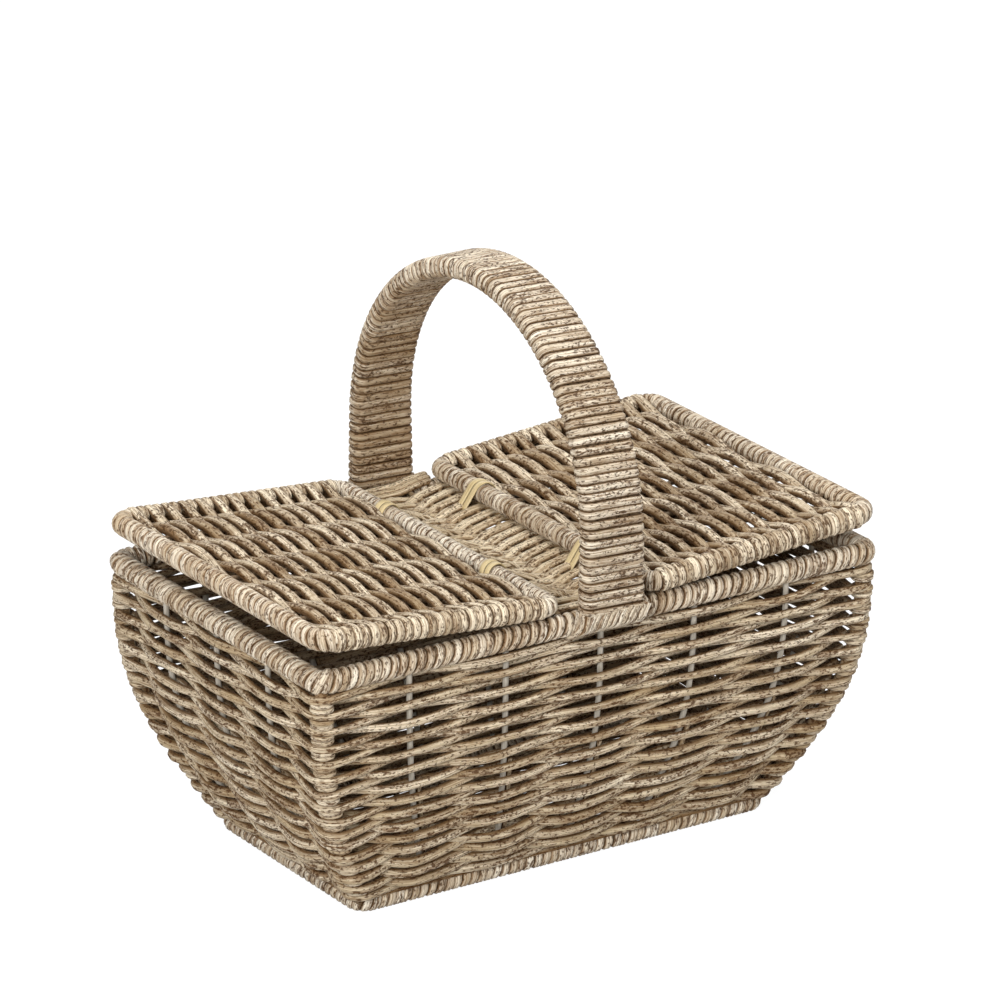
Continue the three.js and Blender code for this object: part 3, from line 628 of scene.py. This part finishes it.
rim_paths = np.stack([points(over_rim, y + rim_slant, z - rim_fall) for y, z in rim_places])
rim_tone = chance.uniform(0.4, 1.0, (len(rim_places), 1))
rim_strokes = lay(rim_paths, [0, 0, 1], width=5.2, thickness=3.8, tone=rim_tone)
piece("bridge_sprays", [sprays_laid, rim_strokes], golden_cane, "basket")

golden_rods = grey_rods("golden_rods", specks_and_shade=(0.22, 0.15, 0.08), light=(0.36, 0.26, 0.15))
rod_y = np.linspace(-bridge_half - 3, bridge_half + 3, 20)
rod_path = points(np.array(bridge_rod_places)[:, None], rod_y, bridge_middle)
bridge_rods = lay(rod_path, [0, 0, 1], width=3.6, thickness=3.4)
bridge_nodes = [f"bridge_stake_{i + 1}" for i in range(len(bridge_rod_places))]
piece("bridge_rods", [bridge_rods], golden_rods, "basket", bridge_nodes)

# Lids. Each is a bar bent round three sides, closed by a straight hinge bar
# that turns in the ties. Canes run across the lid over and under five rods.
# Each cane loops over the long edge bars, and split cane winds the others.
hinge_x = 36
hinge_height = 193.4
hinge_radius = 6.5
hinge_bend = 7
hinge_core_width = 9
hinge_sink = 1.8
lid_span = 167.5
lid_half = 122
lid_radius = 7
lid_sink = 1.9
bar_tone = 0.15
lid_corner = 10
lid_tilt = math.radians(4.3)
lid_stakes = 5
lid_stake_pitch = 40.7
lid_weavers = 26
lid_pitch = 5.8
first_weaver = 9.4
edge_core = 4.4  # radius of the bent bar inside the loops
edge_path = 5.7  # and of the loops' middle round it
edge_start = 6.8  # from the hinge axis to where the bent bar starts
winding_start = 159.0  # and to where its winding starts
lid_points = 170
lid_cane = cane("lid_cane", pale=(0.82, 0.71, 0.535), tan=(0.37, 0.28, 0.17),
                wash=(0.16, 0.086, 0.034), brown=(0.05, 0.019, 0.005), mottle=1.3, painted_shade_band=(0.72, 0.34))
# The lid rods are coloured dark brown as painted shade in the gaps between the canes.
shade_brown_rods = grey_rods("shade_brown_rods", specks_and_shade=(0.13, 0.085, 0.05), light=(0.21, 0.145, 0.09))


def on_lid(a, side, turn_only=False):
    """From a lid's own frame, hinge axis on y and lid towards +x, to the basket's frame:
    turned up by the tilt, moved out to the hinge axis, and mirrored for the left lid."""
    x = a[..., 0] * math.cos(lid_tilt) - a[..., 2] * math.sin(lid_tilt)
    z = a[..., 0] * math.sin(lid_tilt) + a[..., 2] * math.cos(lid_tilt)
    if not turn_only:
        x, z = x + hinge_x, z + hinge_height
    return points(side * x, a[..., 1], z)


def bar_on_lid(bar, side):
    """A bar of wind's kind moved from a lid's own frame to the basket's."""
    line, out, up, crowd = bar
    return on_lid(line, side), on_lid(out, side, True), on_lid(up, side, True), crowd


def lid_frame_bar(start):
    """Centre line of the bent bar from x = start on the near edge, round both corners to the
    same x on the far edge, with the directions out of the lid and up, and its crowding."""
    turn = np.linspace(-np.pi / 2, 0, 10)
    x = np.concatenate([[start], lid_span - lid_corner + lid_corner * np.cos(turn)])
    y = np.concatenate([[-lid_half], -lid_half + lid_corner + lid_corner * np.sin(turn)])
    na = np.concatenate([[0], np.cos(turn)])
    nb = np.concatenate([[-1], np.sin(turn)])
    x, y = np.concatenate([x, x[::-1]]), np.concatenate([y, -y[::-1]])
    na, nb = np.concatenate([na, na[::-1]]), np.concatenate([nb, -nb[::-1]])
    crowd = np.where(np.abs(na * nb) > 0.01, 1.45, 1)
    return points(x, y, 0), points(na, nb, 0), points(0 * x, 0, 1), crowd


def hinge_line():
    """Centre line of the hinge bar, which bends into the edge bars in arcs of radius
    hinge_bend, with the directions towards the lid and up, and its crowding."""
    turn = np.linspace(0, np.pi / 2, 8)[:-1]
    y = np.linspace(-1, 1, 50) * (lid_half - hinge_bend)
    reach_in, reach_out = hinge_bend * (1 - np.sin(turn)), hinge_bend * np.cos(turn)
    x = np.concatenate([reach_in, 0 * y, reach_in[::-1]])
    ends = lid_half - hinge_bend + reach_out
    line = points(x, np.concatenate([-ends, y, ends[::-1]]), 0)
    na = np.concatenate([np.sin(turn), 1 + 0 * y, np.sin(turn)[::-1]])
    nb = np.concatenate([np.cos(turn), 0 * y, -np.cos(turn)[::-1]])
    crowd = np.where(np.abs(nb) > 0.01, 1.7, 1)
    return line, points(na, nb, 0), points(0 * x, 0, 1), crowd


def lid_canes(side):
    """The canes across a lid. Between the edge bars a cane's height is a wave over the rods,
    odd canes half a wave behind. Past the bars, even canes turn down round the outer face
    and odd ones come up from below and go right round the bar, in arcs of radius edge_path."""
    inside = np.linspace(-lid_half, lid_half, lid_points)
    down = np.linspace(np.pi / 2, -0.62 * np.pi, 14)[1:]
    upward = np.linspace(-np.pi / 2, 0.95 * np.pi, 14)[1:]
    to_edge = np.clip((np.abs(inside) - 84) / 36, 0, 1)
    near = np.clip((np.abs(inside) - 104) / 16, 0, 1)
    paths, lifts, wide, thick = [], [], [], []
    for k in range(lid_weavers):
        sign = -1 if k % 2 == 0 else 1
        calm = np.clip((k - 11) / 6, 0, 1) if side > 0 else np.clip((inside - 70) / 30, 0, 1)
        middle = 3.4 - 0.5 * calm
        amount = middle + (edge_path - middle) * to_edge
        height = -sign * weave(inside / lid_stake_pitch, amount)
        turn = down if sign > 0 else upward
        ends = lid_half + edge_path * np.cos(turn)
        y = np.concatenate([-ends[::-1], inside, ends])
        z = np.concatenate([(edge_path * np.sin(turn))[::-1], height, edge_path * np.sin(turn)])
        lift_y = np.concatenate([-np.cos(turn)[::-1], 0 * inside, np.cos(turn)])
        lift_z = np.concatenate([np.sin(turn)[::-1], 1 + 0 * inside, np.sin(turn)])
        lift_z[len(turn)], lift_z[-len(turn) - 1] = sign, sign
        if sign < 0:
            lift_z[len(turn):-len(turn)] = 1 - 2 * (near > 0.5)
        share = np.concatenate([np.ones(len(turn)), near, np.ones(len(turn))])
        crept = 0.08 * max(0, k - 17) ** 1.5 + chance.normal(0, 0.2)
        stray = 0.5 * np.sin(y / 23 + chance.uniform(0, any_angle)) * (1 - share)
        x = first_weaver + lid_pitch * k + crept + stray
        paths.append(points(x, y, z))
        lifts.append(points(0, lift_y, lift_z))
        fuller = 0.7 * np.clip((y - 15) / 25, 0, 1) * (1 - share)
        fuller = fuller + 0.15 * max(0, k - 19) + 0.15 + 0.15 * side
        wide.append(7.0 - 1.1 * share + fuller + chance.normal(0, 0.15))
        thick.append(5.5 - 1.9 * share + fuller)
    paths, lifts = on_lid(np.array(paths), side), on_lid(np.array(lifts), side, True)
    tone = chance.uniform(0.05, 0.95, (lid_weavers, 1))
    tone = tone + chance.normal(0, 0.1, (lid_weavers, paths.shape[1])) + 0.32 * share
    return lay(paths, lifts, np.array(wide), np.array(thick), tone=tone)


for name, side in (("left", -1), ("right", 1)):
    body = f"lid_{name}"
    line, _, up, _ = bar_on_lid(lid_frame_bar(edge_start), side)
    frame_core = lay(line[None], up[None], 2 * edge_core, 2 * edge_core, sides=10, tone=bar_tone)
    outer_bar = bar_on_lid(lid_frame_bar(winding_start), side)
    outer_winding = wind(outer_bar, lid_radius - lid_sink, pitch=5.9, width=5.8, thickness=3.9, lean=1.0)
    frame_strands = [frame_core, outer_winding]
    piece(f"{body}_frame_winding", frame_strands, wound_cane, body, [f"{body}_frame"])
    hinge_bar = bar_on_lid(hinge_line(), side)
    line, _, up, _ = hinge_bar
    hinge_core = lay(line[None], up[None], hinge_core_width, hinge_core_width, sides=10, tone=bar_tone)
    hinge_winding = wind(hinge_bar, hinge_radius - hinge_sink, pitch=5.25, width=5.2, thickness=3.7,
                         lean=0.6)
    # Painted light: the left hinge bar's winding is made paler, as the key light falls on it.
    hinge_winding["tone"] += 0.2 - 0.2 * side
    hinge_strands = [hinge_core, hinge_winding]
    piece(f"{body}_hinge_winding", hinge_strands, wound_cane, body, [f"{body}_hinge_bar"])
    piece(f"{body}_weave", [lid_canes(side)], lid_cane, body, [f"{body}_panel"])
    rod_x = np.linspace(5, lid_span - 6, 30)
    rod_y = ((np.arange(lid_stakes) - 2) * lid_stake_pitch)[:, None]
    rods, rods_up = on_lid(points(rod_x, rod_y, 0), side), on_lid(points(0, 0, 1), side, True)
    rod_strands = lay(rods, rods_up, width=3.4, thickness=3.4, tone=0.0)
    rod_nodes = [f"{body}_stake_{i + 1}" for i in range(lid_stakes)]
    piece(f"{body}_rods", [rod_strands], shade_brown_rods, body, rod_nodes)

# Hinge ties. Bands of straw-yellow raffia go twice round each hinge bar and
# down through the bridge strip, round its edge rod. The bar turns inside them.
tie_turns = 2
tie_steps = 48
tie_pitch = 5.6
tie_width = 5.2
tie_thickness = 1.1
tie_back_y, tie_front_y = 70, -54
tie_upper = (hinge_x, hinge_height, hinge_radius + 0.5)  # x, z and radius of the belt's two ends
tie_lower = (27.3, bridge_middle, 5.4)


def raffia(name):
    """Dried palm leaf: straw yellow with fine pale and brown lines along the band."""
    f = Finish(name, Specular_IOR_Level=0.4)
    lay_map = f.node("UVMap", {"uv_map": "along"})
    u, v = (f.node("SeparateXYZ", {}, {0: lay_map}, k) for k in (0, 1))
    where = f.node("CombineXYZ", {}, {0: u * 40.0, 1: v * 60.0})
    line = f.node("TexNoise", {}, {"Vector": where, "Scale": 1.0, "Detail": 3.0})
    colour = f.mix(f.mask(line, 0.35, 0.65), (0.46, 0.33, 0.14), (0.72, 0.60, 0.36))
    normal = f.node("Bump", {}, {"Strength": 0.4, "Distance": 0.0003, "Height": line})
    return f.done(Base_Color=colour, Roughness=line * 0.2 + 0.35, Normal=normal)


straw_raffia = raffia("straw_raffia")
gap_x, gap_z = tie_upper[0] - tie_lower[0], tie_upper[1] - tie_lower[1]
apart, lean = math.hypot(gap_x, gap_z), math.atan2(gap_z, gap_x)
touch = math.acos((tie_lower[2] - tie_upper[2]) / apart)  # where the belt leaves the upper circle
half_turn = np.linspace(0, 1, tie_steps // 2)
round_upper = lean - touch + 2 * touch * half_turn
round_lower = lean + touch + (2 * np.pi - 2 * touch) * half_turn
belt_angle = np.concatenate([round_upper, round_lower])
upper_half = np.arange(tie_steps) < tie_steps // 2
belt = [np.where(upper_half, a, b) for a, b in zip(tie_upper, tie_lower)]
for name, side in (("left", -1), ("right", 1)):
    for place, y in (("back", tie_back_y), ("front", tie_front_y)):
        i = np.arange(tie_turns * tie_steps + 1)
        angle, x, z, radius = (a[i % tie_steps] for a in (belt_angle, *belt))
        middle = y + tie_pitch * (i / tie_steps - tie_turns / 2)
        turn_out = points(side * np.cos(angle), 0, np.sin(angle))
        path = points(side * x, middle, z) + turn_out * (radius + tie_thickness / 2)[:, None]
        band = lay(path[None], turn_out[None], tie_width, tie_thickness)
        tie_node = f"hinge_tie_{name}_{place}"
        piece(f"raffia_tie_{name}_{place}", [band], straw_raffia, "basket", [tie_node])

# Handle. Rods laid side by side make a flat strap, bent into two straight legs
# under a half circle, that stands on the outside of the rim. Split cane is
# wound tightly round it, and finer cane lashes each foot to the rim.
handle_radius = 133.5
spring_height = 236
strap_foot = 42
strap_crown = 35
strap_thick = 9.4
strap_corner = 3.0
strap_points = 260
binding_foot = 187.2
binding_pitch = 5.62
bedded = 0.3  # how far the binding's middle stands off the strap
inner_face = 3  # nearer the axis than the strap's middle by this, the cane is painted browner: less worn cane, and painted shade under the arch
handle_rod_count = 5
handle_rod_end = 8  # how far the rods run on below the binding
quarter_arch = handle_radius * np.pi / 2
arch_reach = quarter_arch + spring_height - binding_foot
crown_height = spring_height + handle_radius
strap_walk = rounded_walk(7, 2, 4)
handle_cane = cane("handle_cane", pale=(0.86, 0.775, 0.63), tan=(0.48, 0.38, 0.255),
                   wash=(0.19, 0.105, 0.042), brown=(0.04, 0.014, 0.004), mottle=1.1, painted_shade_band=(0.72, 0.52))
# The strap's rods are coloured dark brown as painted shade in the gaps between the binding's turns.
core_rod = grey_rods("core_rod", specks_and_shade=(0.09, 0.055, 0.028), light=(0.15, 0.10, 0.055))


def arch(s):
    """The handle's middle line at length s from the crown: y, z and the y and z of the
    direction out. It is a half circle, and straight down past a quarter turn either way."""
    bend = np.clip(s / handle_radius, -np.pi / 2, np.pi / 2)
    drop = np.maximum(np.abs(s) - quarter_arch, 0)
    y = handle_radius * np.sin(bend)
    z = spring_height + handle_radius * np.cos(bend) - drop
    return y, z, np.sin(bend), np.cos(bend)


def strap_width(z):
    """The strap's width at height z, growing evenly from the crown down to the rim."""
    return strap_crown + (strap_foot - strap_crown) * (crown_height - z) / (crown_height - rim_height)


arch_run = np.linspace(-arch_reach, arch_reach, strap_points)
arch_y, arch_z, out_y, out_z = arch(arch_run)
ones = np.ones(strap_points)


def strap_section(j, q):
    """The strap's outline at length q from one foot, grown by how far the binding stands off."""
    a = strap_width(np.interp(q, arch_run + arch_reach, arch_z)) / 2 + bedded
    b, r = strap_thick / 2 + bedded, strap_corner + 2 * bedded
    ca, cb, na, nb = (w[j] for w in strap_walk)
    return ca * (a - r) + na * r, cb * (b - r) + nb * r, na, nb


arch_bar = (points(0, arch_y, arch_z), points(ones, 0, 0), points(0, out_y, out_z), ones)
binding = wind(arch_bar, 0, binding_pitch, width=5.75, thickness=3.9, steps=strap_walk.shape[1],
               uneven=0.1, section=strap_section)
at_y, at_z = binding["co"][:, 1], binding["co"][:, 2]
from_axis = np.where(at_z > spring_height, np.hypot(at_y, at_z - spring_height), np.abs(at_y))
# Painted light: the binding is made paler towards the crown, where the top light falls.
binding["tone"] += 0.22 * np.clip((at_z - spring_height) / handle_radius, 0, 1)
# Browner inner face of the arch: partly less worn cane, partly painted shade.
binding["tone"] -= 0.4 * (from_axis < handle_radius - inner_face)
piece("handle_winding", [binding], handle_cane, "basket", ["handle_binding"])

rod_s = np.linspace(-arch_reach - handle_rod_end, arch_reach + handle_rod_end, 200)
rod_y, rod_z, out_y, out_z = arch(rod_s)
rod_place = ((np.arange(handle_rod_count) - 2) / handle_rod_count)[:, None]
rod_x = rod_place * strap_width(rod_z)
rod_path, rod_out = points(rod_x, rod_y, rod_z), points(0, out_y, out_z)
rod_wide = strap_width(rod_z) / handle_rod_count + 2 * bedded
handle_rods = lay(rod_path, rod_out, rod_wide, strap_thick, sides=10)
piece("handle_rods", [handle_rods], core_rod, "basket", ["handle_core"])

lash_count = 13
lash_from, lash_to = -20, 24.5
lash_slip = 9  # how far a lashing cane slants on its way down
lash_axis_y = 122
lash_top, lash_turn = 188.5, 182.5
lash_reach, lash_depth = 17.2, 8.8  # of the bend under the rim, outwards and down
lash_bend = 118  # degrees that it goes on for
fan_places = (137.6, 134.4, 131.2)
fan_top, fan_drop = 189.5, 19.3
fall = np.linspace(0, 1, 9)
under = np.linspace(0, np.radians(lash_bend), 16)[1:]
lash_out = np.concatenate([1 + 0 * fall, np.cos(under)])
lash_up = np.concatenate([0 * fall, -np.sin(under)])
lash_y = lash_axis_y + lash_reach * lash_out
lash_z = np.concatenate([lash_top - (lash_top - lash_turn) * fall, lash_turn + 0 * under])
lash_z = lash_z + lash_depth * lash_up
along = np.linspace(0, 1, len(lash_y))
fan_t = np.linspace(0, 1, 14)
fan_y = np.array(fan_places * 2)[:, None]
fan_side = np.repeat([-1, 1], len(fan_places))[:, None]
for name, side in (("front", -1), ("back", 1)):
    start = np.linspace(lash_from, lash_to, lash_count)[:, None] + chance.normal(0, 0.3, (lash_count, 1))
    slip = lash_slip * along * np.clip((start + 26) / 12, 0.25, 1)
    lash_x = side * -(start - slip)
    path, lift = points(lash_x, side * lash_y, lash_z), points(0, side * lash_out, lash_up)
    lash_tone = chance.uniform(0.3, 0.9, (lash_count, 1))
    lashing = lay(path, lift, width=3.5, thickness=2.8, tone=lash_tone)
    fan_x = fan_side * (22.6 + 2.6 * fan_t)
    fan_out = side * (fan_y + (lash_axis_y - fan_y) * fan_t ** 3)
    fan = points(fan_x, fan_out, fan_top - fan_drop * fan_t)
    fan_lift = points(fan_side, side * fan_t, 0)
    fan_tone = chance.uniform(0.3, 0.9, (len(fan_y), 1))
    fans = lay(fan, fan_lift, width=3.5, thickness=2.6, tone=fan_tone)
    piece(f"foot_lashing_{name}", [lashing, fans], wound_cane, "basket")

# Studio. The basket stands on a plain pale floor in soft light from above and
# all sides, seen from over its front left corner through a long lens.
view_turn = math.radians(-33.02)
view_height = math.radians(20.71)
view_target = Vector((-0.03039, -0.05464, 0.2407))
view_distance = 4.33863
lamp_aim = Vector((0, 0, 0.15))
lamps = {  # place in metres, size and power
    "key": ((-2.2, -1.7, 1.3), 1.2, 75),
    "fill": ((1.5, -1.9, 1.2), 1.6, 18),
    "top": ((0.0, -0.3, 2.7), 1.6, 55),
    "back": ((1.3, 2.4, 1.5), 1.6, 16),
}
sky_strength = 0.2
floor_half = 30
floor_glow = 1.3
floor_share = 0.72  # how much of the floor's look is its glow, for the rays that see it white
seen_white = ("Is Camera Ray", "Is Glossy Ray", "Is Transmission Ray")
scene = bpy.context.scene

level = math.cos(view_height)
away = Vector((math.sin(view_turn) * level, -math.cos(view_turn) * level, math.sin(view_height)))
right = Vector((-away.y, away.x, 0)).normalized()
camera_data = bpy.data.cameras.new("camera")
camera_data.sensor_width = 36
camera_data.lens = 252
camera_data.clip_end = 100
camera = bpy.data.objects.new("camera", camera_data)
turned = Matrix((right, away.cross(right), away)).transposed().to_4x4()
camera.matrix_world = Matrix.Translation(view_target + away * view_distance) @ turned
scene.collection.objects.link(camera)
scene.camera = camera

for name, (place, size, power) in lamps.items():
    lamp_data = bpy.data.lights.new(name, "AREA")
    lamp_data.shape, lamp_data.size, lamp_data.energy = "SQUARE", size, power
    lamp = bpy.data.objects.new(name, lamp_data)
    towards = (lamp_aim - Vector(place)).to_track_quat("-Z", "Y")
    lamp.matrix_world = Matrix.Translation(place) @ towards.to_matrix().to_4x4()
    scene.collection.objects.link(lamp)

world = bpy.data.worlds.new("studio")
scene.world = world
world.use_nodes = True
sky = world.node_tree
plain = sky.nodes["Background"]
plain.inputs["Color"].default_value = (1, 1, 1, 1)
plain.inputs["Strength"].default_value = sky_strength
white = sky.nodes.new("ShaderNodeBackground")
rays = sky.nodes.new("ShaderNodeLightPath")
choose = sky.nodes.new("ShaderNodeMixShader")
kind = rays.outputs[seen_white[0]]
for other in seen_white[1:]:
    either = sky.nodes.new("ShaderNodeMath")
    either.operation = "MAXIMUM"
    sky.links.new(kind, either.inputs[0])
    sky.links.new(rays.outputs[other], either.inputs[1])
    kind = either.outputs[0]
for source, socket in zip((kind, plain.outputs[0], white.outputs[0]), choose.inputs):
    sky.links.new(source, socket)
sky.links.new(choose.outputs[0], sky.nodes["World Output"].inputs["Surface"])

floor_finish = Finish("floor", Base_Color=(0.55, 0.55, 0.55, 1), Roughness=0.9)
glow = floor_finish.node("Emission", {}, {"Color": (1, 1, 1, 1), "Strength": floor_glow})
camera_ray, glossy_ray, clear_ray = (floor_finish.node("LightPath", {}, {}, ray) for ray in seen_white)
either = floor_finish.math("MAXIMUM", floor_finish.math("MAXIMUM", camera_ray, glossy_ray), clear_ray)
matt = Value(floor_finish, floor_finish.shader.outputs[0])
both = floor_finish.node("MixShader", {}, {0: either * floor_share, 1: matt, 2: glow})
floor_finish.join(both, floor_finish.nodes["Material Output"].inputs["Surface"])
floor_mesh = bpy.data.meshes.new("floor")
corners = [(x * floor_half, y * floor_half, 0) for x, y in ((-1, -1), (1, -1), (1, 1), (-1, 1))]
floor_mesh.from_pydata(corners, [], [(0, 1, 2, 3)])
floor_mesh.materials.append(floor_finish.material)
floor = bpy.data.objects.new("floor", floor_mesh)
scene.collection.objects.link(floor)

scene.view_settings.view_transform = "Standard"
